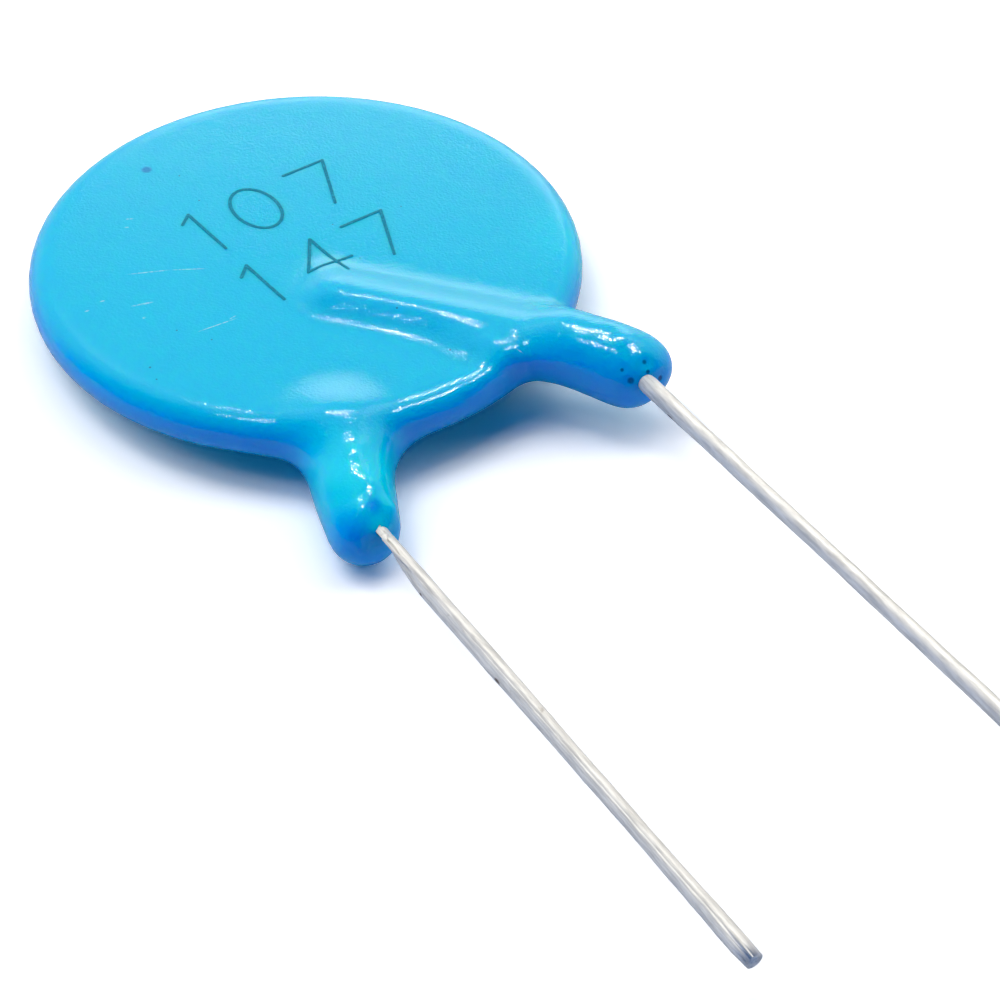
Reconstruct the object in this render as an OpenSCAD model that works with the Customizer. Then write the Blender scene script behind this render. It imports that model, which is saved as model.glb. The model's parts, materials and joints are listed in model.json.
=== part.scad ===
// Radial ceramic disc capacitor: a silvered ceramic disc with a wire soldered to
// each face, dipped in a glossy coat that rises over the wires and runs down them
// as two rounded legs. It lies on its back, marked face up, leads towards -Y.

/* [Ceramic and electrodes] */
// Diameter of the fired ceramic disc
ceramic_d = 16; // [13:0.1:20]
// Thickness of the ceramic disc
ceramic_t = 0.4; // [0.2:0.02:0.8]
// Chamfer on the two edges of the ceramic disc
ceramic_chamfer = 0.05; // [0.02:0.01:0.1]
// Bare ceramic left round each electrode
electrode_margin = 0.5; // [0.2:0.1:1.5]
// Thickness of each fired silver electrode
electrode_t = 0.04; // [0.02:0.01:0.08]

/* [Coat on the disc] */
// Thickness of the coat past the edge of the ceramic
rim_coat = 1.3; // [0.8:0.05:1.8]
// Thickness of the coat over each electrode
face_coat = 0.56; // [0.4:0.02:0.9]
// Radius of the rounded rim, as a share of half the thickness
rim_roundness = 0.97; // [0.6:0.01:0.98]

/* [Leads] */
// Diameter of the lead wire
wire_d = 0.6; // [0.4:0.02:0.8]
// Distance between the two straight leads
lead_pitch = 10; // [7.5:0.5:12.5]
// How far the pair of leads sits to the right of the disc's centre
lead_shift = 0.52; // [0:0.02:1]
// Length of each straight lead past its knee
lead_len = 19.8; // [6:0.1:35]
// How far past the rim of the disc each lead has its knee
knee_out = 1.1; // [0.8:0.1:2.5]
// Distance from the disc's centre down to the soldered inner ends
run_depth = 2.9; // [2:0.1:5]
// How far each inner end reaches past the middle between the leads
run_cross = 1.2; // [0:0.1:2.5]
// How much thinner the wire is drawn where it bends, on its radius
bend_thinning = 0.01; // [0.01:0.005:0.02]

/* [Solder] */
// Thickness of the solder between the wire and the electrode
solder_film = 0.03; // [0.02:0.01:0.1]
// Thickness of the solder over the wire
solder_cover = 0.14; // [0.05:0.01:0.3]
// Height of the mound's axis above the electrode
solder_rise = 0.12; // [0:0.01:0.2]
// Length of wire held by the solder
solder_run = 4; // [2:0.1:5]
// How much smaller the mound's rounded ends are than its bar, on the radius
end_step = 0.01; // [0.01:0.005:0.02]

/* [Coat over the leads] */
// Thickness of the coat over the wire where it crosses a face
ridge_coat = 0.34; // [0.2:0.01:0.6]
// Softness of the blend between a ridge and the face
ridge_blend = 0.9; // [0.4:0.05:1.5]
// How much softer that blend is on the outer side of the ridge
outer_softness = 0.6; // [0:0.05:1]
// How much softer that blend is on the inner side, where the ridge nears the rim
rim_softness = 0.8; // [0:0.05:1.5]
// Thickness of the coat round the front wire where its leg leaves the disc
front_neck_coat = 0.85; // [0.5:0.01:1.1]
// Thickness of the coat round the front wire at the leg's rounded end
front_bulb_coat = 1; // [0.6:0.01:1.2]
// Thickness of the coat round the back wire where its leg leaves the disc
back_neck_coat = 0.65; // [0.5:0.01:1.1]
// Thickness of the coat round the back wire at the leg's rounded end
back_bulb_coat = 0.85; // [0.6:0.01:1.2]
// How far inside the rim the front leg has its root
front_root_in = 0.4; // [0.1:0.1:1.2]
// How far inside the rim the back leg has its root
back_root_in = 1.2; // [0.1:0.1:2]
// How far the root of each leg lies inside the straight wire
root_inset = 0.9; // [0:0.1:1.5]
// Distance from the knee of the wire down to the middle of the front leg's end
front_bulb_drop = 0.2; // [0:0.05:1.5]
// Distance from the knee of the wire down to the middle of the back leg's end
back_bulb_drop = 0.9; // [0:0.05:1.5]
// How far the rounded end of each leg bulges outwards past the wire
bulb_out = 0.12; // [0:0.01:0.3]
// How far the coat sags below the wire at each leg
leg_sag = 0.3; // [0:0.01:0.5]
// Softness of the blend between the front leg and the disc
front_leg_blend = 1.1; // [0.5:0.05:2]
// Softness of the blend between the back leg and the disc
back_leg_blend = 1.6; // [0.5:0.05:2]
// Gap between the back wire and the rim of the dimple it comes out of
dimple_gap = 0.3; // [0.1:0.01:0.4]
// Softness of the lip round the dimple
dimple_blend = 0.35; // [0.1:0.05:0.6]

/* [Hidden] */
$fn = 96;

FRONT = 1;
BACK = -1;

electrode_r = ceramic_d / 2 - electrode_margin;
electrode_z = ceramic_t / 2 + electrode_t;
wire_r = wire_d / 2;
lead_z = electrode_z + solder_film + wire_r;

body_r = ceramic_d / 2 + rim_coat;
half_t = electrode_z + face_coat;
rim_r = half_t * rim_roundness;
rim_start = body_r - rim_r;
rim_z = half_t - rim_r;

// Plan of one lead, measured from the middle between the two leads
run_start = [-run_cross, -run_depth];
knee = [lead_pitch / 2, -body_r - knee_out];
lead_end = knee - [0, lead_len];
run_len = norm(knee - run_start);
run_dir = (knee - run_start) / run_len;
run_side = [-run_dir[1], run_dir[0]];
turn = atan2(run_dir[0], -run_dir[1]);

front_neck_r = wire_r + front_neck_coat;
front_bulb_r = wire_r + front_bulb_coat;
back_neck_r = wire_r + back_neck_coat;
back_bulb_r = wire_r + back_bulb_coat;
// Distance from each knee down to the tip of its coated leg
front_tip = front_bulb_drop + front_bulb_r;
back_tip = back_bulb_drop + back_bulb_r;

// ---- Leads, solder and disc: exact round solids ----

// A lead's own plan turned into the frame of the disc, on the side it serves
module on_side(side) {
    translate([lead_shift, 0, 0])
        rotate([0, side == FRONT ? 0 : 180, 0]) children();
}

// Straight round bar from one point of the lead's plan to another, at height z
module bar(from, to, z, r) {
    span = to - from;
    translate([from[0], from[1], z])
        rotate([0, 90, atan2(span[1], span[0])])
            cylinder(r = r, h = norm(span));
}

// The wire: a soldered run, a knee bent so gently that it is straight again only at
// the tip of the coated leg, and the long straight end. The bend is a hair thinner, so
// that it runs on for bend_lap degrees inside each straight stretch and joins it.
module wire_form(side) {
    tip = side == FRONT ? front_tip : back_tip;
    bend_r = tip / tan(turn / 2);
    bend_lap = 0.5 * acos(1 - bend_thinning / bend_r);
    bend_start = knee - run_dir * tip;
    bend_end = knee - [0, tip];
    union() {
        bar(run_start, bend_start, lead_z, wire_r);
        translate([bend_end[0] - bend_r, bend_end[1], lead_z])
            rotate([0, 0, -bend_lap])
                rotate_extrude(angle = turn + 2 * bend_lap)
                    translate([bend_r, 0]) circle(r = wire_r - bend_thinning);
        bar(bend_end, lead_end, lead_z, wire_r);
    }
}

// Mound of solder along the run, flat where it wets the electrode. Its rounded ends are
// a hair smaller than the bar, so that each joins it in a clean edge.
module solder_mound() {
    mound_z = electrode_z + solder_rise;
    solder_r = solder_film + wire_d + solder_cover - solder_rise;
    run_end = run_start + run_dir * solder_run;
    intersection() {
        union() {
            bar(run_start, run_end, mound_z, solder_r);
            for (at = [run_start, run_end])
                translate([at[0], at[1], mound_z]) sphere(r = solder_r - end_step);
        }
        translate([0, 0, electrode_z])
            cylinder(r = electrode_r, h = 2 * solder_r);
    }
}

module ceramic_form() {
    r = ceramic_d / 2;
    h = ceramic_t / 2;
    c = ceramic_chamfer;
    rotate_extrude()
        polygon([[0, -h], [r - c, -h], [r, c - h], [r, h - c], [r - c, h], [0, h]]);
}

module electrode_form(side) {
    low = side == FRONT ? ceramic_t / 2 : -electrode_z;
    translate([0, 0, low]) cylinder(r = electrode_r, h = electrode_t);
}

// Everything that the coat closes over, as one form
module inside_of_coat() {
    union() {
        ceramic_form();
        for (side = [FRONT, BACK]) {
            electrode_form(side);
            on_side(side) {
                solder_mound();
                wire_form(side);
            }
        }
    }
}

// ---- Outer form of the coat: a field that is negative inside the coat ----

// Two forms run into each other, with a soft fillet k wide where they meet
function blend(a, b, k) =
    let (h = max(k - abs(a - b), 0) / k)
    min(a, b) - h * h * k / 4;

// One form with a second one sunk into it, with a soft edge k wide
function dent(a, b, k) = -blend(-a, b, k);

// Rounded bar from a to b whose radius grows from ra to rb
function slug(p, a, b, ra, rb) =
    let (ab = b - a, t = min(max((p - a) * ab / (ab * ab), 0), 1))
    norm(p - a - t * ab) - ra - t * (rb - ra);

function rounded_disc(p) =
    let (
        out = norm([p[0], p[1]]) - rim_start,
        up = abs(p[2]) - rim_z
    )
    min(max(out, up), 0) + norm([max(out, 0), max(up, 0)]) - rim_r;

// A point of one lead's plan at height z, placed on the disc
function placed(side, plan, z) = [lead_shift + side * plan[0], plan[1], side * z];

ridge_r = wire_r + ridge_coat;
ridge_end = run_start + run_dir * (run_len - ridge_r);
rim_run = (run_len - knee_out) / 3;
rim_ramp = rim_run;
ridges = [for (side = [FRONT, BACK])
    [placed(side, run_start, lead_z), placed(side, ridge_end, lead_z)]];

// How soft the foot of a ridge is at a point: over the face it is softer on the outer
// side, and on the inner side it is softer towards the rim
function ease(t) = let (u = min(max(t, 0), 1)) u * u * (3 - 2 * u);

function ridge_softness(p, side) =
    let (
        plan = [side * (p[0] - lead_shift), p[1]] - run_start,
        aside = plan * run_side / ridge_r / 2,
        rimwards = ease((plan * run_dir - rim_run) / rim_ramp),
        softer = outer_softness * ease(aside) + rim_softness * rimwards * ease(-aside)
    )
    ridge_blend + softer * ease(side * p[2] / half_t);

// Each leg starts inside the rim, beside the wire, and ends round the straight wire
root_x = knee[0] - root_inset;
bulb_x = knee[0] + bulb_out;
front_root = placed(FRONT, [root_x, front_root_in - body_r], lead_z - leg_sag / 2);
front_bulb = placed(FRONT, [bulb_x, knee[1] - front_bulb_drop], lead_z - leg_sag);
back_root = placed(BACK, [root_x, back_root_in - body_r], lead_z - leg_sag);
back_bulb = placed(BACK, [bulb_x, knee[1] - back_bulb_drop], lead_z + leg_sag);
dimple = placed(BACK, [knee[0], back_bulb[1] - back_bulb_r], lead_z - wire_r / 2);
dimple_r = wire_r + dimple_gap;

function coat(p) =
    let (
        body = rounded_disc(p),
        front = slug(p, ridges[0][0], ridges[0][1], ridge_r, ridge_r),
        back = slug(p, ridges[1][0], ridges[1][1], ridge_r, ridge_r),
        front_leg = slug(p, front_root, front_bulb, front_neck_r, front_bulb_r),
        back_leg = slug(p, back_root, back_bulb, back_neck_r, back_bulb_r),
        front_ridged = blend(body, front, ridge_softness(p, FRONT)),
        ridged = blend(front_ridged, back, ridge_softness(p, BACK)),
        legged = blend(blend(ridged, front_leg, front_leg_blend), back_leg, back_leg_blend)
    )
    dent(legged, norm(p - dimple) - dimple_r, dimple_blend);

// Slope of the field
function slope(p) =
    let (d = 0.001, c = coat(p))
    [coat(p + [d, 0, 0]) - c, coat(p + [0, d, 0]) - c, coat(p + [0, 0, d]) - c] / d;

// A point near the surface, moved onto it
function settled(p, steps = 2) =
    steps == 0 ? p :
    let (n = slope(p)) settled(p - n * coat(p) / (n * n), steps - 1);

// ---- Skin of the coat: a net drawn over rings, spokes and layers ----

face_rings = 14;
first_ring = 2;
rim_angle_step = 22;
outer_gap = 0.15;
ring_step = 0.38;
front_reach = norm([front_bulb[0], front_bulb[1]]) + front_bulb_r;
back_reach = norm([back_bulb[0], back_bulb[1]]) + back_bulb_r;
outer_reach = max(front_reach, back_reach) + 2 * ring_step;
rings = concat(
    [0],
    [for (i = [0 : face_rings]) first_ring + (rim_start - first_ring) * i / face_rings],
    [for (a = [1 : 3]) rim_start + rim_r * sin(a * rim_angle_step)],
    [for (r = [body_r + outer_gap : ring_step : outer_reach]) r]
);

// Spokes stand close together round the legs and further apart elsewhere
leg_sector = 14;
leg_step = 2;
body_step = 6;
first_spoke = 270 - atan(back_bulb[0] / back_bulb[1]) - leg_sector;
last_leg_spoke = 270 - atan(front_bulb[0] / front_bulb[1]) + leg_sector;
spokes = concat(
    [for (a = [first_spoke : leg_step : last_leg_spoke]) a],
    [for (a = [last_leg_spoke + body_step : body_step : first_spoke + 360 - body_step]) a]
);

layer_step = 0.3;
top_z = max(lead_z + ridge_r, front_bulb[2] + front_bulb_r) + 2 * layer_step;
bottom_z = back_bulb[2] - back_bulb_r - 2 * layer_step;
layers = [for (z = [bottom_z : layer_step : top_z]) z];

n_rings = len(rings);
n_spokes = len(spokes);
n_layers = len(layers);

// One step outwards, one step round and one step up
STEPS = [[1, 0, 0], [0, 1, 0], [0, 0, 1]];

function grid_point(n) =
    let (a = spokes[n[1] % n_spokes])
    [rings[n[0]] * cos(a), rings[n[0]] * sin(a), layers[n[2]]];

function depths() = [for (i = [0 : n_rings - 1])
    [for (j = [0 : n_spokes - 1])
        [for (k = [0 : n_layers - 1]) coat(grid_point([i, j, k]))]]];

function read(depth, n) = depth[n[0]][(n[1] + n_spokes) % n_spokes][n[2]];

// A net can't tell which way the skin runs through a cell face whose corners lie
// in, out, in, out. The corner nearest the skin is moved across it, which settles it.
near_skin = 0.1;

function is_unclear(depth, n, v) =
    max([for (axis = [0 : 2], s = [-1, 1], t = [-1, 1])
        let (
            one = s * STEPS[axis],
            other = t * STEPS[(axis + 1) % 3],
            a = read(depth, n + one),
            b = read(depth, n + other),
            c = read(depth, n + one + other)
        )
        (v < 0) == (c < 0) && (a < 0) == (b < 0) && (v < 0) != (a < 0)
            && abs(v) <= min(abs(a), abs(b), abs(c)) ? 1 : 0]) == 1;

function is_inner(i, k) = i > 0 && i < n_rings - 1 && k > 0 && k < n_layers - 1;

function cleared(depth) = [for (i = [0 : n_rings - 1])
    [for (j = [0 : n_spokes - 1])
        [for (k = [0 : n_layers - 1])
            let (v = depth[i][j][k])
            abs(v) < near_skin && is_inner(i, k) && is_unclear(depth, [i, j, k], v)
                ? -v : v]]];

// Corners of a cell, and the pairs of them that share an edge
CORNERS = [for (k = [0, 1], j = [0, 1], i = [0, 1]) [i, j, k]];
EDGES = [for (a = [0 : 6], b = [a + 1 : 7])
    if (norm(CORNERS[b] - CORNERS[a]) == 1) [a, b]];

function is_crossed(d) = min(d) < 0 && max(d) >= 0;

// The one point of the skin in a cell: the middle of the cuts through its edges
function cell_point(d, n) =
    let (
        at = [for (c = CORNERS) grid_point(n + c)],
        cuts = [for (e = EDGES)
            let (a = d[e[0]], b = d[e[1]])
            if ((a < 0) != (b < 0)) at[e[0]] + (at[e[1]] - at[e[0]]) * a / (a - b)]
    )
    settled([for (c = cuts) 1] * cuts / len(cuts));

// A patch of four points as two triangles, cut along the shorter diagonal
function patch(points, q, outward) =
    let (
        across = norm(points[q[1]] - points[q[3]]) < norm(points[q[0]] - points[q[2]]),
        halves = across ? [[q[0], q[1], q[3]], [q[1], q[2], q[3]]]
                        : [[q[0], q[1], q[2]], [q[0], q[2], q[3]]]
    )
    [for (t = halves) outward ? [t[2], t[1], t[0]] : t];

module coat_skin() {
    depth = cleared(depths());
    cells = [for (i = [0 : n_rings - 2], j = [0 : n_spokes - 1], k = [0 : n_layers - 2])
        [for (c = CORNERS) read(depth, [i, j, k] + c)]];
    crossed = [for (d = cells) is_crossed(d) ? 1 : 0];
    before = [for (n = 0, sum = 0; n < len(crossed); sum = sum + crossed[n], n = n + 1) sum];

    function cell(n) = (n[0] * n_spokes + (n[1] + n_spokes) % n_spokes) * (n_layers - 1) + n[2];
    function id(n) = before[cell(n)];
    function is_inside(n) = read(depth, n) < 0;

    points = [for (i = [0 : n_rings - 2], j = [0 : n_spokes - 1], k = [0 : n_layers - 2])
        let (n = [i, j, k], d = cells[cell(n)])
        if (is_crossed(d)) cell_point(d, n)];

    // Where the skin crosses a step of the grid, it joins the four cells round the step
    faces = [for (axis = [0 : 2])
        let (along = STEPS[axis], s = STEPS[(axis + 1) % 3], t = STEPS[(axis + 2) % 3])
        for (i = [1 - along[0] : n_rings - 2], j = [0 : n_spokes - 1])
            for (k = [1 - along[2] : n_layers - 2])
                let (n = [i, j, k], in = is_inside(n))
                if (in != is_inside(n + along))
                    each patch(points, [id(n - s - t), id(n - t), id(n), id(n - s)], in)];

    // A fan round one point closes the middle of each side
    middles = [for (k = [0 : n_layers - 2])
        if (is_inside([0, 0, k]) != is_inside([0, 0, k + 1])) k];
    hubs = [for (k = middles) settled([0, 0, (layers[k] + layers[k + 1]) / 2])];
    fans = [for (m = [0 : len(middles) - 1], j = [0 : n_spokes - 1])
        let (
            k = middles[m],
            hub = len(points) + m,
            a = id([0, j, k]),
            b = id([0, j + 1, k])
        )
        is_inside([0, 0, k]) ? [hub, b, a] : [hub, a, b]];

    polyhedron(concat(points, hubs), concat(faces, fans), convexity = 6);
}

// ---- How it lies: on the back leg's end and on the far edge of the rim ----

leg_out = norm([back_bulb[0], back_bulb[1]]);
away = -[back_bulb[0], back_bulb[1]] / leg_out;
rest_span = [leg_out + rim_start, -back_bulb[2] - rim_z];
lean = atan2(rest_span[1], rest_span[0]) + asin((back_bulb_r - rim_r) / norm(rest_span));
rest_z = rim_r + rim_start * sin(lean) + rim_z * cos(lean);
middle_y = (-lead_end[1] - body_r) / 2;

module laid() {
    translate([0, middle_y, rest_z])
        rotate(a = lean, v = [-away[1], away[0], 0]) children();
}

// ---- Sub-parts ----

module ceramic_disc() {
    color("tan") laid() ceramic_form();
}

module front_electrode() {
    color("silver") laid() electrode_form(FRONT);
}

module back_electrode() {
    color("silver") laid() electrode_form(BACK);
}

module front_lead() {
    color("lightgray") laid() on_side(FRONT) wire_form(FRONT);
}

module back_lead() {
    color("lightgray") laid() on_side(BACK) wire_form(BACK);
}

module solder(side) {
    color("gray") laid() on_side(side)
        difference() {
            solder_mound();
            wire_form(side);
        }
}

module epoxy_coating() {
    color("deepskyblue") laid()
        difference() {
            coat_skin();
            inside_of_coat();
        }
}

ceramic_disc();
front_electrode();
back_electrode();
front_lead();
back_lead();
solder(FRONT);  // front_solder
solder(BACK);  // back_solder
epoxy_coating();
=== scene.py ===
"""Radial ceramic disc capacitor: the finish of its dipped coat, its tinned wires and its marking."""

import json
import math
import random

import bmesh
import bpy
from mathutils import Matrix, Vector


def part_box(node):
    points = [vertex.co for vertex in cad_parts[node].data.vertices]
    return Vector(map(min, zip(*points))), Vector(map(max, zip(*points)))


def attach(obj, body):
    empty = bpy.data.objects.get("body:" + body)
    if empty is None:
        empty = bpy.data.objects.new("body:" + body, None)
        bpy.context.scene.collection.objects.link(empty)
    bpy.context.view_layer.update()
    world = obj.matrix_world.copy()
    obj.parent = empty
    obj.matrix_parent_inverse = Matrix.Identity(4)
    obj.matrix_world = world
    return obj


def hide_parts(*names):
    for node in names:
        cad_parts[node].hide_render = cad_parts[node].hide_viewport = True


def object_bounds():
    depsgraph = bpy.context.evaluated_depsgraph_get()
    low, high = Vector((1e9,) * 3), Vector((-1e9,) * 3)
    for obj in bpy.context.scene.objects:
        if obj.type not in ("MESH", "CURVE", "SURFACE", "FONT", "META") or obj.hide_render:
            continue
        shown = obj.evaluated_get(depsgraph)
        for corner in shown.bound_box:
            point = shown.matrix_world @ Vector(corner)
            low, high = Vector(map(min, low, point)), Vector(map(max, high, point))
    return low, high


bl_info = {
    "name": "Ceramic Disc Capacitor",
    "version": (1, 0, 0),
    "blender": (4, 5, 0),
    "location": "View3D > Sidebar > Capacitor",
    "description": "Builds the glossy coat, wires and marking of a disc capacitor around its CAD frame",
    "category": "Object",
}

MM = 0.001
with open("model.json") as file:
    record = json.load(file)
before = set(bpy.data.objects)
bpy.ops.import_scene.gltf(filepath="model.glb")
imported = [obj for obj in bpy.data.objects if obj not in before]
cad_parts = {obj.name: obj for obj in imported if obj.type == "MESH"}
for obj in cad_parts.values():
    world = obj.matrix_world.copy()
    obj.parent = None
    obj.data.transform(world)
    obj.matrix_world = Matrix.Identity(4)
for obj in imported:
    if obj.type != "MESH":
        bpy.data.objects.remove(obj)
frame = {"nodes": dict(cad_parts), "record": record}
CAD_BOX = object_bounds()
NODES = frame["nodes"]
LEADS = {m["name"].split("_")[0]: m for m in frame["record"]["mounts"]}
WIRE_R = LEADS["front"]["dims"]["r_mm"] * MM


def disc_frame():
    """The disc's own frame: origin in its middle, +Z out of the marked face, +Y away from the leads."""
    electrode = NODES["front_electrode"].data
    up = max(electrode.polygons, key=lambda face: face.area).normal.normalized()
    along = -Vector(LEADS["front"]["axis"]).normalized()
    right = along.cross(up).normalized()
    low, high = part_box("ceramic_disc")
    turn = Matrix((right, up.cross(right), up)).transposed()
    return Matrix.Translation((low + high) / 2) @ turn.to_4x4()


DISC = disc_frame()


def lead_end(side, where):
    """A lead's exit from the coat (where = 0) or its cut end (where = 1)."""
    lead = LEADS[side]
    half = lead["dims"]["length_mm"] * MM / 2
    return Vector(lead["pos_m"]) + Vector(lead["axis"]) * half * (2 * where - 1)


# Soft lamps that light matt surfaces: azimuth, elevation and size in degrees as the part sees them,
# and radiance
SOFT_LAMPS = (
    (45, 27, 20, 2.3), (75, 27, 20, 1.0), (105, 27, 20, 3.0), (315, 27, 20, 1.7),
    (60, 46, 18, 1.0), (90, 46, 18, 3.4), (300, 46, 18, 3.0), (330, 46, 18, 4.8),
    (22, 65, 18, 2.9), (68, 65, 18, 3.6), (292, 65, 18, 1.8), (338, 65, 18, 6.8), (0, 83, 16, 2.2),
)
# Lamps that show in the gloss: azimuth, elevation, width, height and radiance
GLOSS_LAMPS = (
    (32, 58, 17, 2.5, 85), (288, 76, 12, 3, 50), (108, 66, 5, 18, 45), (6, 42, 12, 6, 1.2),
    (36, 19, 34, 20, 1.7), (36, 6, 40, 12, 0.3), (68, 46, 20, 18, 1.4),
)

# Small dents and swellings of the coat, in millimetres of the disc's frame: place, move, reach
COAT_SHAPES = (
    ((-3.60, -7.90, 1.05), (0.00, 0.00, -0.04), 1.80),
    ((0.97, -8.87, 0.67), (0.00, -0.08, 0.06), 0.80),
    ((1.66, -8.68, 0.75), (0.00, -0.08, 0.07), 0.80),
    ((2.31, -8.49, 0.97), (0.03, -0.10, 0.06), 0.80),
    ((2.10, -8.05, 1.05), (0.00, -0.05, 0.08), 0.90),
    ((6.60, -11.40, 0.50), (0.16, -0.06, 0.00), 1.60),
    ((-4.38, -11.70, 0.12), (0.03, 0.21, 0.00), 0.65),
    ((-4.70, -11.45, 0.20), (-0.06, -0.02, 0.06), 0.45),
    ((-4.00, -10.85, 0.42), (0.00, -0.02, 0.06), 0.50),
    ((-3.78, -11.57, -0.07), (0.08, -0.05, 0.03), 0.40),
    ((-3.87, -9.61, 0.71), (0.02, 0.00, 0.06), 0.50),
    ((-2.81, -9.36, 0.49), (0.00, 0.00, 0.04), 0.50),
    ((5.46, -10.55, 1.60), (0.00, 0.00, 0.05), 0.45),
    ((5.08, -10.10, 1.63), (0.00, 0.00, -0.05), 0.50),
    ((4.20, -9.75, 1.46), (-0.03, 0.00, 0.04), 0.50),
    ((5.02, -11.60, 0.76), (0.01, 0.05, -0.02), 0.30),
    ((4.88, -11.29, 1.05), (0.00, 0.02, -0.03), 0.30),
    ((5.62, -11.48, 1.18), (0.00, 0.04, -0.05), 0.30),
    ((6.04, -11.77, 0.53), (-0.02, 0.06, -0.02), 0.30),
)

# Pale scratches in the coat, in millimetres of the disc's frame: place, length, width, angle in degrees
SCRATCHES = (
    ((-5.14, 1.41, 0.8), 1.37, 0.05, -23), ((-3.99, 0.85, 0.8), 1.20, 0.04, -29),
    ((-6.09, 0.03, 0.8), 0.71, 0.09, -15), ((-7.76, 0.68, 0.8), 0.17, 0.07, -8),
    ((-7.12, 0.87, 0.8), 0.19, 0.05, -14), ((-4.37, 4.37, 0.8), 0.25, 0.05, -26),
    ((-4.67, 4.00, 0.8), 0.17, 0.05, -27), ((-4.56, -2.22, 0.8), 1.36, 0.04, -3),
    ((-3.97, -2.15, 0.8), 0.29, 0.05, 11), ((-6.36, -0.63, 0.8), 0.12, 0.10, 0),
    ((2.75, -8.75, 0.96), 0.26, 0.04, -57),
)

# Dark specks and pits in the coat: place, width
SPECKS = (
    ((-1.80, 5.67, 0.8), 0.07), ((-1.90, 4.03, 0.8), 0.07), ((-5.06, -2.77, 0.8), 0.07),
    ((-5.78, -1.76, 0.8), 0.07), ((-7.33, -2.93, 0.8), 0.09), ((-7.42, -3.55, 0.8), 0.07),
    ((1.25, 0.40, 0.8), 0.06), ((3.73, 0.02, 0.8), 0.06), ((0.27, -1.36, 0.8), 0.06),
    ((0.50, -4.99, 1.17), 0.08), ((1.08, -1.69, 0.8), 0.06), ((1.01, -7.36, 0.86), 0.08),
    ((5.02, -11.60, 0.76), 0.26), ((4.88, -11.29, 1.05), 0.14), ((5.62, -11.48, 1.18), 0.18),
    ((5.60, -11.69, 0.93), 0.16), ((6.04, -11.77, 0.53), 0.20),
)
# Darker blue spots in the coat: place, width
SPOTS = (((-2.59, 6.60, 0.8), 0.40),)

# Painted light and painted shade: paler patches over the back leg and the far right rim, where light
# falls, and deeper blue patches on the lower parts of both legs and round the back wire's exit, where
# shade falls: place, half axes
PAINTED_LIGHT_PATCHES = (((-4.25, -10.30, 0.00), (2.8, 2.6, 1.8)), ((7.6, -4.4, 0.2), (2.5, 3.0, 0.8)))
PAINTED_SHADE_PATCHES = (
    ((-5.40, -11.90, -0.15), (0.85, 1.20, 0.90)), ((-4.35, -11.50, 0.15), (0.35, 0.35, 0.35)),
    ((5.2, -10.9, -0.2), (2.0, 1.3, 0.7)),
)
# Colours of the painted light and the painted shade, and how strongly they are mixed in
PAINTED_LIGHT_COLOUR, PAINTED_SHADE_COLOUR, LIGHT_AND_SHADE_STRENGTH = (0.0, 0.88, 1.0), (0.0, 0.30, 0.95), 0.7
SCRATCH_COLOUR, SPECK_COLOUR, SPOT_COLOUR = (0.45, 0.80, 0.92), (0.0, 0.06, 0.20), (0.0, 0.28, 0.62)
SCRATCH_DEPTH, SPECK_STRENGTH = 0.2 * MM, 0.75

# Plugs that seal the holes round the wires: how far inside the coat each begins, length, share of the
# wire's radius
PLUG_INSET = {"front": 0.12 * MM, "back": 0.30 * MM}
PLUG_LENGTH = 2 * MM
PLUG_WIDTH = 1.08

# The back wire's thin neck: distance from the coat and how deep its lower side is drawn in, in
# millimetres; and how near a ring's vertices lie to its plane
NECK = (
    (-0.88, 0.26), (-0.44, 0.26), (-0.20, 0.26), (0.00, 0.26),
    (0.15, 0.25), (0.592, 0.19), (1.183, 0.11), (1.775, 0.04),
)
NECK_TOLERANCE = 0.03 * MM
# Directions square to the wires, towards the side that catches the light and towards the lower side
UPPER_SIDE = Vector((-0.469, 0, 0.883))
LOWER_SIDE = Vector((-0.883, 0, -0.469))
# Brown stains: distance from the coat, angle round the wire from its upper side to its lower, width and
# length, in millimetres and degrees
STAINS = {
    "front": ((1.50, 75, 0.08, 0.30), (4.10, 70, 0.07, 0.20), (8.6, 60, 0.07, 0.2)),
    "back": (
        (0.95, 25, 0.15, 0.22), (1.20, 55, 0.10, 0.16), (2.35, 60, 0.12, 0.14),
        (6.40, 55, 0.15, 0.30), (7.30, 80, 0.07, 0.24), (10.2, 70, 0.07, 0.25),
    ),
}
GRIME_COLOUR, STAIN_COLOUR = (0.30, 0.25, 0.19), (0.10, 0.055, 0.03)
# The cut end's bevel: its length, and the share of the radius that is left
END_BEVEL, END_WIDTH = 0.05 * MM, 0.86
WIRE_SEED = 7

# The marking's strokes and oval rings on the marked face, in millimetres of the disc's frame: both
# ends; middle and half axes
STROKES = (
    ((-3.02, 3.10), (-2.60, 3.50)), ((-2.60, 3.50), (-2.41, 1.19)),
    ((1.22, 3.72), (2.82, 3.80)), ((2.82, 3.80), (1.95, 1.42)),
    ((-2.73, -0.48), (-2.29, -0.01)), ((-2.29, -0.01), (-2.11, -2.24)),
    ((0.18, 0.08), (-0.78, -1.52)), ((-0.78, -1.52), (0.90, -1.44)), ((0.18, 0.08), (0.36, -2.15)),
    ((1.42, 0.12), (3.02, 0.20)), ((3.02, 0.20), (2.15, -2.12)),
)
RINGS = (((-0.485, 2.585), (0.77, 1.20)),)
# Height over the disc's middle that the lines are laid down from, how far the first one floats over the
# coat, and how much farther each later one does, so that crossing lines never share a surface
DROP_HEIGHT = 2.5 * MM
FLOAT_FIRST, FLOAT_STEP = 0.003 * MM, 0.0006 * MM

PAPER_COLOURS = (0.62, 0.62, 0.62), (0.60, 0.60, 0.61)
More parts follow.
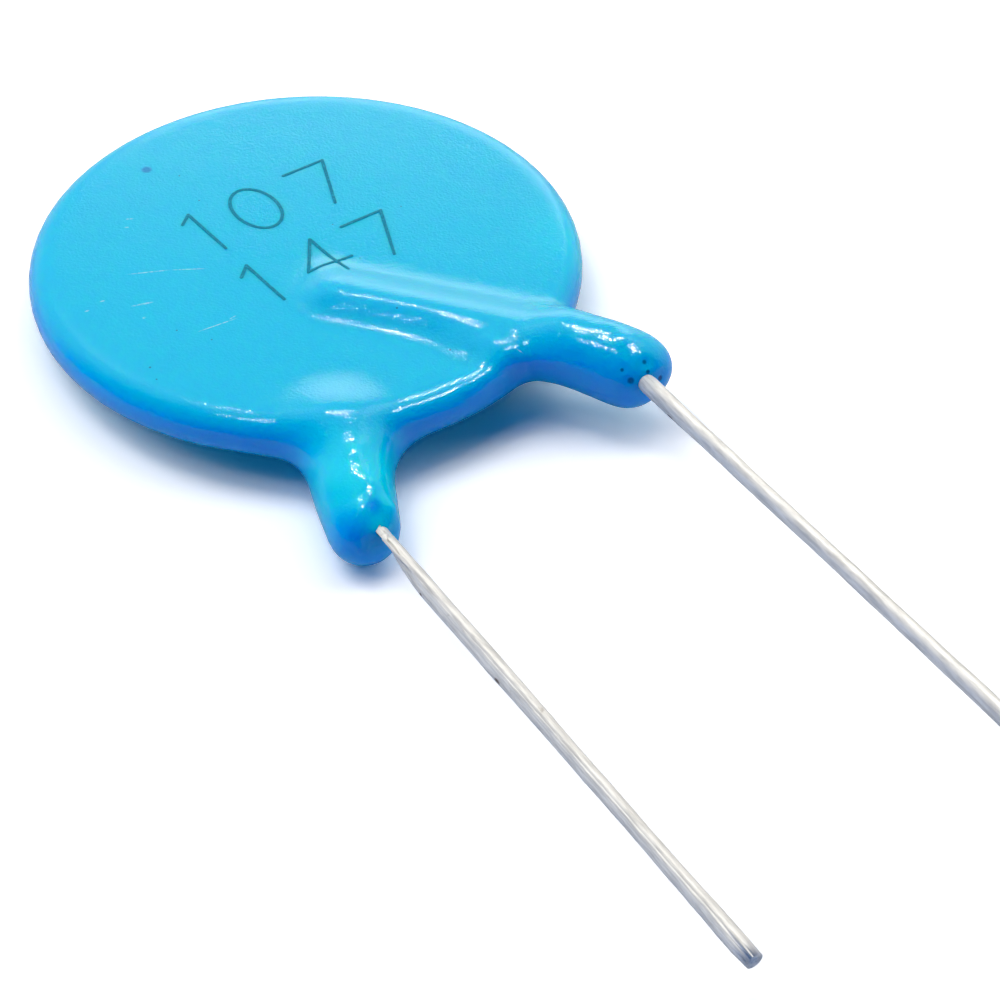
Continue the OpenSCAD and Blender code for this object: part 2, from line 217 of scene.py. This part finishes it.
# The pieces inside the coat: colour, metallic, roughness and size of the mottling
CORE_FINISHES = {
    "ceramic_disc": ((0.55, 0.42, 0.30), 0, 0.7, 0.2 * MM),
    "electrode": ((0.75, 0.74, 0.72), 1, 0.45, 0.1 * MM),
    "solder": ((0.58, 0.58, 0.58), 1, 0.3, 0.4 * MM),
}
CORE_NAMES = {"ceramic_disc": "fired_ceramic", "electrode": "fired_silver", "solder": "solder"}


# ---- Settings ----


class CoatSettings(bpy.types.PropertyGroup):
    grain: bpy.props.FloatProperty(
        name="Mesh size", description="Edge length of the coat's mesh", default=0.1 * MM,
        min=0.1 * MM, unit="LENGTH", precision=5)
    melt: bpy.props.IntProperty(
        name="Melt", description="How often the coat's surface is smoothed", default=24, min=0)
    last_melt: bpy.props.IntProperty(
        name="Last melt", description="How often it is smoothed again after its dents are made",
        default=5, min=0)
    face_colour: bpy.props.FloatVectorProperty(
        name="Face colour", description="Colour of the coat over the flat faces", subtype="COLOR",
        size=3, default=(0.0, 0.58, 0.84), min=0, max=1)
    # Painted shade: this deeper blue is mixed in where the coat's sides are steep, so that they look
    # shaded
    steep_shade_colour: bpy.props.FloatVectorProperty(
        name="Edge colour", description="Deeper colour of the coat where it is thick and steep",
        subtype="COLOR", size=3, default=(0.0, 0.42, 1.0), min=0, max=1)
    roughness: bpy.props.FloatProperty(
        name="Roughness", description="Roughness of the gloss", default=0.075, min=0, max=1)


class MarkingSettings(bpy.types.PropertyGroup):
    stroke: bpy.props.FloatProperty(
        name="Stroke", description="Width of the marking's lines", default=0.118 * MM, unit="LENGTH",
        precision=5)
    thickness: bpy.props.FloatProperty(
        name="Thickness", description="Thickness of the marking", default=0.008 * MM, unit="LENGTH",
        precision=6)
    step: bpy.props.FloatProperty(
        name="Step", description="Longest piece of a line that lies straight on the coat",
        default=0.15 * MM, min=0.05 * MM, unit="LENGTH", precision=5)
    ink: bpy.props.FloatVectorProperty(
        name="Ink", description="Colour of the marking", subtype="COLOR", size=3,
        default=(0.01, 0.23, 0.34), min=0, max=1)


class WireSettings(bpy.types.PropertyGroup):
    colour: bpy.props.FloatVectorProperty(
        name="Tin colour", description="Colour of the tinned wire", subtype="COLOR", size=3,
        default=(0.84, 0.81, 0.74), min=0, max=1)
    ring_step: bpy.props.FloatProperty(
        name="Ring step", description="Distance between the rings along a wire", default=0.6 * MM,
        min=0.1 * MM, unit="LENGTH", precision=5)
    wander: bpy.props.FloatProperty(
        name="Wander", description="How far the rings stray from a perfect cylinder",
        default=0.012 * MM, min=0, unit="LENGTH", precision=6)


class StageSettings(bpy.types.PropertyGroup):
    sky: bpy.props.FloatProperty(
        name="Sky", description="Brightness of the white tent behind the part", default=0.68, min=0)
    sky_fill: bpy.props.FloatProperty(
        name="Sky fill", description="Share of the tent's light that reaches matt surfaces",
        default=0.05, min=0, max=1)
    horizon: bpy.props.FloatProperty(
        name="Horizon", description="How much brighter the tent is near the floor", default=0.3, min=0)
    front_colour: bpy.props.FloatVectorProperty(
        name="Front colour", description="Colour of the dim tent on the camera's side", subtype="COLOR",
        size=3, default=(0.0, 0.42, 1.5), min=0)
    paper: bpy.props.FloatProperty(
        name="Paper", description="Whiteness of the floor as the camera sees it", default=1.4, min=0)
    paper_in_gloss: bpy.props.FloatProperty(
        name="Paper in gloss", description="Share of that whiteness that the gloss mirrors",
        default=0.08, min=0, max=1)
    floor_size: bpy.props.FloatProperty(
        name="Floor size", description="Side of the square floor", default=0.22, min=0.05, max=10,
        subtype="DISTANCE", unit="LENGTH")
    lamps: bpy.props.FloatProperty(
        name="Lamps", description="Brightness of all the lamps together", default=1.02, min=0)
    lamp_distance: bpy.props.FloatProperty(
        name="Lamp distance", description="Distance from each lamp to the part", default=0.3,
        min=0.05, unit="LENGTH")
    azimuth: bpy.props.FloatProperty(
        name="View azimuth", description="Direction that the camera looks from", subtype="ANGLE",
        default=math.radians(-34.67))
    elevation: bpy.props.FloatProperty(
        name="View elevation", description="Height of the camera above the horizon", subtype="ANGLE",
        default=math.radians(46.99))
    roll: bpy.props.FloatProperty(
        name="View roll", description="Turn of the camera about its line of sight", subtype="ANGLE",
        default=math.radians(-1.784))
    distance: bpy.props.FloatProperty(
        name="View distance", description="Distance from the camera to the point it looks at",
        default=71.28 * MM, unit="LENGTH", precision=5)
    aim: bpy.props.FloatVectorProperty(
        name="Aim", description="Point on the floor that the camera looks at", size=3,
        default=(0.143 * MM, -1.184 * MM, 0), unit="LENGTH", precision=5)
    lens: bpy.props.FloatProperty(
        name="Lens", description="Focal length in millimetres", default=82.04)


SETTINGS = {
    "coat": CoatSettings, "marking": MarkingSettings, "wires": WireSettings, "stage": StageSettings,
}


# ---- Helpers ----


def settings(group):
    return getattr(bpy.context.scene, f"capacitor_{group}")


def deselect():
    if bpy.context.object and bpy.context.object.mode != "OBJECT":
        bpy.ops.object.mode_set(mode="OBJECT")
    bpy.ops.object.select_all(action="DESELECT")


def activate(obj):
    deselect()
    obj.select_set(True)
    bpy.context.view_layer.objects.active = obj
    return obj


def edit(obj):
    activate(obj)
    bpy.ops.object.mode_set(mode="EDIT")
    bpy.ops.mesh.select_all(action="DESELECT")


def leave_edit():
    bpy.ops.object.mode_set(mode="OBJECT")


def finish_mesh(obj, name):
    """Puts the place into the mesh and names the piece."""
    activate(obj)
    bpy.ops.object.transform_apply(location=True, rotation=True, scale=True)
    obj.name = obj.data.name = name
    return obj


def apply_modifier(obj, kind, **values):
    activate(obj)
    modifier = obj.modifiers.new(kind.title(), kind)
    for key, value in values.items():
        setattr(modifier, key, value)
    bpy.ops.object.modifier_apply(modifier=modifier.name)


def join(obj, others):
    activate(obj)
    for other in others:
        other.select_set(True)
    bpy.ops.object.join()
    return obj


def rod(start, end, radius, vertices=32):
    """A cylinder from one point to another."""
    axis = end - start
    turn = axis.to_track_quat("Z", "Y").to_euler()
    deselect()
    bpy.ops.mesh.primitive_cylinder_add(
        vertices=vertices, radius=radius, depth=axis.length, location=(start + end) / 2, rotation=turn)
    return bpy.context.object


def copy_of_node(node):
    """A merged copy of a CAD node's mesh."""
    activate(NODES[node])
    bpy.ops.object.duplicate()
    copy = bpy.context.object
    copy.data.materials.clear()
    edit(copy)
    bpy.ops.mesh.select_all(action="SELECT")
    bpy.ops.mesh.remove_doubles(threshold=0.001 * MM)
    leave_edit()
    return copy


def on_disc(place):
    """A point given in millimetres of the disc's frame."""
    return DISC @ (Vector(place) * MM)


def choose(obj, test):
    """In edit mode, selects just the vertices that pass the test."""
    mesh = bmesh.from_edit_mesh(obj.data)
    for vertex in mesh.verts:
        vertex.select_set(test(vertex.co))
    mesh.select_flush_mode()
    bmesh.update_edit_mesh(obj.data)


def push(obj, place, move, reach):
    """In edit mode, moves the nearest vertex and lets the surface within reach follow it."""
    mesh = bmesh.from_edit_mesh(obj.data)
    nearest = min((v.co for v in mesh.verts), key=lambda co: (co - place).length_squared).copy()
    choose(obj, lambda co: (co - nearest).length < 1e-9)
    bpy.ops.transform.translate(
        value=move, use_proportional_edit=True, proportional_edit_falloff="SMOOTH",
        proportional_size=reach, use_proportional_connected=False)


def cut_across(obj, point, axis):
    """In edit mode, cuts a ring of edges across the mesh and leaves it selected."""
    bpy.ops.mesh.select_all(action="SELECT")
    bpy.ops.mesh.bisect(plane_co=point, plane_no=axis)


# ---- Materials ----


class Tree:
    """Short hand for building a node tree."""

    def __init__(self, tree):
        self.tree = tree

    def add(self, kind, values=(), **inputs):
        node = self.tree.nodes.new(kind)
        for key, value in dict(values).items():
            setattr(node, key, value)
        for key, value in inputs.items():
            self.plug(node.inputs[key.replace("_", " ")], value)
        return node

    def plug(self, socket, value):
        if isinstance(value, bpy.types.NodeSocket):
            self.tree.links.new(value, socket)
        else:
            socket.default_value = value

    def math(self, operation, a, b=0.0, c=0.0):
        node = self.add("ShaderNodeMath", {"operation": operation})
        for socket, value in zip(node.inputs, (a, b, c)):
            self.plug(socket, value)
        return node.outputs[0]

    def remap(self, value, low, high, to_low=0.0, to_high=1.0):
        node = self.add("ShaderNodeMapRange", {"interpolation_type": "SMOOTHSTEP"})
        for key, number in zip(("From Min", "From Max", "To Min", "To Max"), (low, high, to_low, to_high)):
            node.inputs[key].default_value = number
        self.plug(node.inputs["Value"], value)
        return node.outputs[0]

    def mix(self, factor, a, b):
        node = self.add("ShaderNodeMix", {"data_type": "RGBA"})
        self.plug(node.inputs[0], factor)
        for socket, value in ((node.inputs[6], a), (node.inputs[7], b)):
            self.plug(socket, (*value, 1) if isinstance(value, tuple) else value)
        return node.outputs[2]


class Nodes(Tree):
    """The node tree of one finish, on the piece's own coordinates."""

    def __init__(self, name):
        self.material = bpy.data.materials.new(name)
        self.material.use_nodes = True
        super().__init__(self.material.node_tree)
        self.surface = self.tree.nodes["Principled BSDF"]
        self.coordinates = self.add("ShaderNodeTexCoord")

    def here(self):
        return self.coordinates.outputs["Object"]

    def noise(self, size, detail=2.0, rough=0.5, vector=None):
        """Noise whose features are about size across."""
        node = self.add("ShaderNodeTexNoise", Scale=1 / size, Detail=detail, Roughness=rough)
        self.plug(node.inputs["Vector"], vector or self.here())
        return node.outputs["Fac"]

    def patches(self, shapes, core=0.5):
        """A mask of soft-edged ellipsoids, each given by its place, turn and half axes."""
        mask = 0.0
        for place, turn, half in shapes:
            local = self.add("ShaderNodeMapping", {"vector_type": "TEXTURE"}, Vector=self.here(),
                             Location=place, Rotation=turn, Scale=half)
            size = self.add("ShaderNodeVectorMath", {"operation": "LENGTH"})
            self.plug(size.inputs[0], local.outputs[0])
            mask = self.math("MAXIMUM", self.remap(size.outputs["Value"], 1.2, core), mask)
        return mask

    def bump(self, height, depth, strength=1.0, normal=None):
        node = self.add("ShaderNodeBump", Strength=strength, Distance=depth, Height=height)
        if normal:
            self.plug(node.inputs["Normal"], normal)
        return node.outputs["Normal"]

    def set(self, **inputs):
        for key, value in inputs.items():
            self.plug(self.surface.inputs[key.replace("_", " ")], value)
        return self.material


def colour(value):
    return tuple(value)[:3]


def scratch_shape(place, length, width, angle):
    turn = DISC.to_3x3() @ Matrix.Rotation(math.radians(angle), 3, "Z")
    return on_disc(place), turn.to_euler(), (length / 2 * MM, width / 2 * MM, SCRATCH_DEPTH)


def speck_shape(place, width):
    return on_disc(place), (0, 0, 0), [width / 2 * MM] * 3


def coat_material():
    chosen = settings("coat")
    m = Nodes("blue_epoxy")
    up = m.add("ShaderNodeSeparateXYZ", Vector=m.coordinates.outputs["Normal"]).outputs["Z"]
    # Painted shade: the steeper the surface, by its normal in the part's own frame, the more of the deeper
    # shade colour is mixed in
    steep = m.remap(m.math("ABSOLUTE", up), 1.0, 0.15)
    base = m.mix(steep, colour(chosen.face_colour), colour(chosen.steep_shade_colour))
    turn = DISC.to_euler()
    # Painted light and painted shade: patches where light falls are painted paler, patches where shade
    # falls deeper blue
    for painted_patches, tint in ((PAINTED_LIGHT_PATCHES, PAINTED_LIGHT_COLOUR), (PAINTED_SHADE_PATCHES, PAINTED_SHADE_COLOUR)):
        shapes = ((on_disc(place), turn, Vector(half) * MM) for place, half in painted_patches)
        base = m.mix(m.math("MULTIPLY", m.patches(shapes, 0.0), LIGHT_AND_SHADE_STRENGTH), base, tint)
    uneven = m.noise(0.12 * MM, 2, 0.6)
    scratches = m.math("MULTIPLY", m.patches(scratch_shape(*s) for s in SCRATCHES),
                       m.remap(uneven, 0.35, 0.6, 0.1, 0.7))
    base = m.mix(scratches, base, SCRATCH_COLOUR)
    specks = m.patches(speck_shape(*s) for s in SPECKS)
    base = m.mix(m.math("MULTIPLY", specks, SPECK_STRENGTH), base, SPECK_COLOUR)
    base = m.mix(m.patches(speck_shape(*s) for s in SPOTS), base, SPOT_COLOUR)
    ripple = m.bump(m.noise(0.9 * MM, 2), 0.02 * MM, 0.5)
    peel = m.bump(m.noise(0.09 * MM, 1, 0.5), 0.009 * MM, 1.0, ripple)
    return m.set(Base_Color=base, Roughness=chosen.roughness, IOR=1.4, Normal=peel,
                 Subsurface_Weight=1.0, Subsurface_Radius=(0.1, 0.5, 1.0),
                 Subsurface_Scale=0.5 * MM)


def ink_material():
    chosen = settings("marking")
    m = Nodes("marking_ink")
    worn = m.remap(m.noise(0.08 * MM, 3, 0.6), 0.45, 0.7)
    pale = tuple(min(1, 1.5 * c) for c in chosen.ink)
    return m.set(Base_Color=m.mix(worn, colour(chosen.ink), pale), Roughness=0.7,
                 Specular_IOR_Level=0.05)


def wire_material(name, stains):
    """Tin with streaks drawn out along the wire and a few brown stains."""
    m = Nodes(name)
    drawn = m.add("ShaderNodeMapping", Vector=m.here(), Scale=(1, 0.1, 1)).outputs[0]
    streaks = m.noise(0.10 * MM, 3, 0.6, drawn)
    tin = colour(settings("wires").colour)
    base = m.mix(m.remap(streaks, 0.35, 0.7), tin, tuple(0.72 * c for c in tin))
    grime = m.remap(m.noise(0.35 * MM, 5, 0.7), 0.64, 0.72, 0.0, 0.5)
    base = m.mix(grime, base, GRIME_COLOUR)
    base = m.mix(m.patches(stains), base, STAIN_COLOUR)
    dents = m.bump(m.noise(0.3 * MM, 3, 0.5), 0.015 * MM, 0.6)
    scored = m.bump(streaks, 0.008 * MM, 0.6, dents)
    return m.set(Base_Color=base, Metallic=0.15, Roughness=0.45, Normal=scored)


def paper_material():
    """Matt white paper, a little overexposed where the camera or a reflection sees it."""
    chosen = settings("stage")
    m = Nodes("white_paper")
    fibres = m.mix(m.noise(3 * MM, 2), *PAPER_COLOURS)
    m.set(Base_Color=fibres, Roughness=0.9)
    rays = m.add("ShaderNodeLightPath").outputs
    seen = m.math("MAXIMUM", rays["Is Camera Ray"], rays["Is Transmission Ray"])
    seen = m.math("MAXIMUM", seen, m.math("MULTIPLY", rays["Is Glossy Ray"], chosen.paper_in_gloss))
    white = m.add("ShaderNodeBsdfDiffuse", Color=(*[chosen.paper] * 3, 1))
    both = m.add("ShaderNodeMixShader", Fac=seen)
    m.plug(both.inputs[1], m.surface.outputs[0])
    m.plug(both.inputs[2], white.outputs[0])
    m.plug(m.tree.nodes["Material Output"].inputs["Surface"], both.outputs[0])
    return m.material


def core_material(name, tint, metallic, roughness, speckle):
    m = Nodes(name)
    shade = m.noise(speckle, 3)
    dark = tuple(0.8 * c for c in tint)
    return m.set(Base_Color=m.mix(shade, tint, dark), Metallic=metallic, Roughness=roughness,
                 Normal=m.bump(shade, 0.01 * MM, 0.3))


# ---- Operators ----


class CAPACITOR_OT_coat(bpy.types.Operator):
    """Model the dipped coat as one smooth closed skin"""
    bl_idname = "capacitor.coat"
    bl_label = "Coat"

    def execute(self, context):
        chosen = settings("coat")
        coat = copy_of_node("epoxy_coating")
        plugs = []
        for side, inset in PLUG_INSET.items():
            start, end = lead_end(side, 0), lead_end(side, 1)
            inward = (start - end).normalized()
            plugs.append(rod(start + inward * inset, start + inward * PLUG_LENGTH, PLUG_WIDTH * WIRE_R))
        join(coat, plugs)
        apply_modifier(coat, "REMESH", mode="VOXEL", voxel_size=chosen.grain)
        apply_modifier(coat, "SMOOTH", factor=0.5, iterations=chosen.melt)
        edit(coat)
        for place, move, reach in COAT_SHAPES:
            push(coat, on_disc(place), DISC.to_3x3() @ Vector(move) * MM, reach * MM)
        leave_edit()
        apply_modifier(coat, "SMOOTH", factor=0.5, iterations=chosen.last_melt)
        finish_mesh(coat, "coat")
        bpy.ops.object.shade_smooth()
        coat.data.materials.append(coat_material())
        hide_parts("epoxy_coating")
        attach(coat, "root")
        return {"FINISHED"}


class CAPACITOR_OT_marking(bpy.types.Operator):
    """Lay the lines of the marking on the coat"""
    bl_idname = "capacitor.marking"
    bl_label = "Marking"

    def execute(self, context):
        coat = bpy.data.objects.get("coat")
        if not coat:
            raise RuntimeError("The marking needs the coat")
        chosen = settings("marking")
        lines = [self.bar(chosen, *ends) for ends in STROKES] + [self.ring(chosen, *r) for r in RINGS]
        for number, line in enumerate(lines):
            apply_modifier(line, "SHRINKWRAP", target=coat, wrap_method="PROJECT",
                           wrap_mode="ABOVE_SURFACE", use_project_z=True, use_negative_direction=True,
                           use_positive_direction=False, offset=FLOAT_FIRST + FLOAT_STEP * number)
            apply_modifier(line, "SOLIDIFY", thickness=chosen.thickness, offset=1)
            activate(line)
            bpy.ops.object.transform_apply(location=True, rotation=True, scale=True)
        marking = finish_mesh(join(lines[0], lines[1:]), "marking")
        marking.data.materials.append(ink_material())
        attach(marking, "root")
        return {"FINISHED"}

    def place(self, line):
        """Hangs a line over the marked face, in the disc's frame"""
        line.matrix_world = DISC @ Matrix.Translation((0, 0, DROP_HEIGHT))

    def bar(self, chosen, start, end):
        """A bar with round ends: half of a circle drawn out and cut across at every step"""
        start, end = Vector((*start, 0)) * MM, Vector((*end, 0)) * MM
        along = end - start
        deselect()
        bpy.ops.mesh.primitive_circle_add(
            vertices=12, radius=chosen.stroke / 2, fill_type="NGON", location=start,
            rotation=(0, 0, math.atan2(along.y, along.x)))
        line = bpy.context.object
        bpy.ops.object.transform_apply(location=True, rotation=True, scale=True)
        edit(line)
        ahead = 0.15 * chosen.stroke * along.length
        choose(line, lambda co: (co - start).dot(along) > ahead)
        bpy.ops.transform.translate(value=along)
        steps = max(2, round(along.length / chosen.step))
        for step in range(steps + 1):
            cut_across(line, start + along * step / steps, along.normalized())
        leave_edit()
        self.place(line)
        return line

    def ring(self, chosen, middle, half):
        """An upright oval ring: a circle stretched, then extruded inwards by the stroke's width"""
        deselect()
        bpy.ops.mesh.primitive_circle_add(vertices=56, radius=1, location=(0, 0, 0))
        line = bpy.context.object
        width = chosen.stroke / 2
        outer = Vector((half[0] * MM + width, half[1] * MM + width, 1))
        inner = Vector((half[0] * MM - width, half[1] * MM - width, 1))
        edit(line)
        bpy.ops.mesh.select_all(action="SELECT")
        bpy.ops.transform.resize(value=outer)
        bpy.ops.mesh.extrude_region_move()
        bpy.ops.transform.resize(value=(inner.x / outer.x, inner.y / outer.y, 1))
        bpy.ops.mesh.select_all(action="SELECT")
        bpy.ops.transform.translate(value=(middle[0] * MM, middle[1] * MM, 0))
        leave_edit()
        self.place(line)
        return line


class CAPACITOR_OT_wires(bpy.types.Operator):
    """Model the two tinned leads with their small dents, nicks and cut ends"""
    bl_idname = "capacitor.wires"
    bl_label = "Wires"

    def execute(self, context):
        shuffle = random.Random(WIRE_SEED)
        for side in ("front", "back"):
            wire = copy_of_node(f"{side}_lead")
            start, end = lead_end(side, 0), lead_end(side, 1)
            axis = (end - start).normalized()
            edit(wire)
            self.rings(wire, start, end, axis, shuffle)
            if side == "back":
                self.thin_neck(wire, start, axis)
            leave_edit()
            finish_mesh(wire, f"{side}_wire")
            bpy.ops.object.shade_smooth_by_angle(angle=math.radians(40))
            wire.data.materials.append(wire_material(f"tin_{side}", self.stains(side, start, axis)))
            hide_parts(f"{side}_lead")
            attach(wire, "root")
        return {"FINISHED"}

    def rings(self, wire, start, end, axis, shuffle):
        """Cuts rings across the bare part and moves each a little, then bevels the cut end"""
        chosen = settings("wires")
        across = axis.orthogonal().normalized()
        steps = round((end - start).length / chosen.ring_step)
        for step in range(1, steps):
            point = start.lerp(end, step / steps)
            cut_across(wire, point, axis)
            stray = Matrix.Rotation(shuffle.uniform(0, math.tau), 3, axis) @ across
            bpy.ops.transform.translate(value=stray * chosen.wander * shuffle.random())
            bpy.ops.transform.resize(value=[1 + shuffle.uniform(-0.03, 0.01)] * 3)
        cut_across(wire, end - axis * END_BEVEL, axis)
        choose(wire, lambda co: (co - end).dot(axis) > -0.001 * MM)
        bpy.ops.transform.resize(value=[END_WIDTH] * 3)

    def thin_neck(self, wire, start, axis):
        """Draws in the lower side of the back wire where it leaves the coat"""
        for distance, depth in NECK:
            point = start + axis * distance * MM
            cut_across(wire, point, axis)
            choose(wire, lambda co: abs((co - point).dot(axis)) < NECK_TOLERANCE
                   and (co - point).length < 1.5 * WIRE_R
                   and (co - point).dot(LOWER_SIDE) > 0.1 * WIRE_R)
            bpy.ops.transform.translate(value=-LOWER_SIDE * depth * MM)

    def stains(self, side, start, axis):
        """The places, turns and half axes of a wire's stains"""
        shapes = []
        for along, degrees, width, length in STAINS[side]:
            angle = math.radians(degrees)
            out = math.cos(angle) * UPPER_SIDE + math.sin(angle) * LOWER_SIDE
            shapes.append((start + axis * along * MM + out * WIRE_R, (0, 0, 0),
                           (width / 2 * MM, length / 2 * MM, width / 2 * MM)))
        return shapes


class CAPACITOR_OT_core(bpy.types.Operator):
    """Finish the ceramic, the electrodes and the solder inside the coat"""
    bl_idname = "capacitor.core"
    bl_label = "Inner pieces"

    def execute(self, context):
        for name, values in CORE_FINISHES.items():
            finish = core_material(CORE_NAMES[name], *values)
            for node in (n for n in NODES if n.endswith(name)):
                NODES[node].data.materials.clear()
                NODES[node].data.materials.append(finish)
        return {"FINISHED"}


class CAPACITOR_OT_stage(bpy.types.Operator):
    """Set up the floor, the lamps, the world and the camera"""
    bl_idname = "capacitor.stage"
    bl_label = "Stage"

    def execute(self, context):
        chosen = settings("stage")
        deselect()
        bpy.ops.mesh.primitive_plane_add(size=chosen.floor_size, location=(0, 0, CAD_BOX[0].z))
        floor = finish_mesh(bpy.context.object, "floor")
        floor.data.materials.append(paper_material())

        world = bpy.data.worlds.new("tent")
        context.scene.world = world
        world.use_nodes = True
        self.tent(world.node_tree, chosen)

        for azimuth, elevation, size, radiance in SOFT_LAMPS:
            self.lamp(chosen, "soft", azimuth, elevation, size, size, radiance)
        for lamp in GLOSS_LAMPS:
            self.lamp(chosen, "gloss", *lamp)
        self.camera(chosen)
        context.scene.view_settings.view_transform = "Standard"
        return {"FINISHED"}

    def tent(self, tree, chosen):
        """White to the camera; to the part white from behind and dim blue from the camera's side"""
        away = (-math.sin(chosen.azimuth), math.cos(chosen.azimuth), 0)
        t = Tree(tree)
        direction = t.add("ShaderNodeTexCoord").outputs["Generated"]
        dot = t.add("ShaderNodeVectorMath", {"operation": "DOT_PRODUCT"})
        t.plug(dot.inputs[0], direction)
        t.plug(dot.inputs[1], away)
        behind = t.remap(dot.outputs["Value"], 0.0, 0.45)
        low = t.remap(t.add("ShaderNodeSeparateXYZ", Vector=direction).outputs["Z"], 0.5, 0.0)
        white = t.math("MULTIPLY", behind, t.math("MULTIPLY_ADD", low, chosen.horizon, c=1.0))
        glossy = t.add("ShaderNodeLightPath").outputs["Is Glossy Ray"]
        share = t.math("MULTIPLY_ADD", glossy, 1 - chosen.sky_fill, c=chosen.sky_fill)
        level = t.math("MULTIPLY", white, t.math("MULTIPLY", share, chosen.sky))
        front = t.math("MULTIPLY", low, t.math("SUBTRACT", 1.0, behind))
        fill = t.mix(front, (0.0, 0.0, 0.0), tuple(chosen.front_colour))
        grey = t.add("ShaderNodeCombineXYZ", X=level, Y=level, Z=level)
        both = t.add("ShaderNodeVectorMath", {"operation": "ADD"})
        t.plug(both.inputs[0], grey.outputs[0])
        t.plug(both.inputs[1], fill)
        seen = t.add("ShaderNodeLightPath").outputs["Is Camera Ray"]
        shown = t.mix(seen, both.outputs[0], (1.0, 1.0, 1.0))
        t.plug(tree.nodes["Background"].inputs["Color"], shown)

    def lamp(self, chosen, kind, azimuth, elevation, width, height, radiance):
        """A rectangular lamp turned towards the part, that lights matt surfaces or shows in the gloss"""
        around, up = math.radians(azimuth), math.radians(elevation)
        place = chosen.lamp_distance * Vector((
            math.sin(around) * math.cos(up), math.cos(around) * math.cos(up), math.sin(up)))
        wide, high = (2 * chosen.lamp_distance * math.tan(math.radians(a / 2)) for a in (width, height))
        deselect()
        bpy.ops.object.light_add(type="AREA", location=place)
        lamp = bpy.context.object
        lamp.name = f"{kind}_{azimuth}_{elevation}"
        lamp.data.shape = "RECTANGLE"
        lamp.data.size, lamp.data.size_y = wide, high
        lamp.data.energy = radiance * math.pi * wide * high * chosen.lamps
        lamp.visible_diffuse = kind == "soft"
        lamp.visible_glossy = kind == "gloss"
        lamp.rotation_euler = (-place).to_track_quat("-Z", "Y").to_euler()

    def camera(self, chosen):
        """The camera, at the distance and in the direction that the settings give"""
        back = Vector((
            math.sin(chosen.azimuth) * math.cos(chosen.elevation),
            -math.cos(chosen.azimuth) * math.cos(chosen.elevation),
            math.sin(chosen.elevation)))
        deselect()
        bpy.ops.object.camera_add(location=Vector(chosen.aim) + back * chosen.distance)
        camera = bpy.context.object
        turn = (-back).to_track_quat("-Z", "Y").to_matrix() @ Matrix.Rotation(-chosen.roll, 3, "Z")
        camera.rotation_euler = turn.to_euler()
        camera.data.lens = chosen.lens
        camera.data.sensor_width = 36
        camera.data.clip_start = 1 * MM
        camera.data.clip_end = 10
        bpy.context.scene.camera = camera


OPERATORS = (
    CAPACITOR_OT_coat, CAPACITOR_OT_marking, CAPACITOR_OT_wires, CAPACITOR_OT_core, CAPACITOR_OT_stage,
)


class CAPACITOR_PT_panel(bpy.types.Panel):
    """Lists the steps that build the capacitor"""
    bl_idname = "CAPACITOR_PT_panel"
    bl_label = "Ceramic Disc Capacitor"
    bl_space_type = "VIEW_3D"
    bl_region_type = "UI"
    bl_category = "Capacitor"

    def draw(self, context):
        for group, kind in SETTINGS.items():
            box = self.layout.box()
            for key in kind.__annotations__:
                box.prop(settings(group), key)
        for operator in OPERATORS:
            self.layout.operator(operator.bl_idname)


CLASSES = (*SETTINGS.values(), *OPERATORS, CAPACITOR_PT_panel)


def register():
    for kind in CLASSES:
        bpy.utils.register_class(kind)
    for group, kind in SETTINGS.items():
        setattr(bpy.types.Scene, f"capacitor_{group}", bpy.props.PointerProperty(type=kind))


def unregister():
    for group in SETTINGS:
        delattr(bpy.types.Scene, f"capacitor_{group}")
    for kind in reversed(CLASSES):
        bpy.utils.unregister_class(kind)


def main():
    register()
    bpy.ops.capacitor.stage()
    bpy.ops.capacitor.coat()
    bpy.ops.capacitor.marking()
    bpy.ops.capacitor.wires()
    bpy.ops.capacitor.core()


if __name__ == "__main__":
    main()
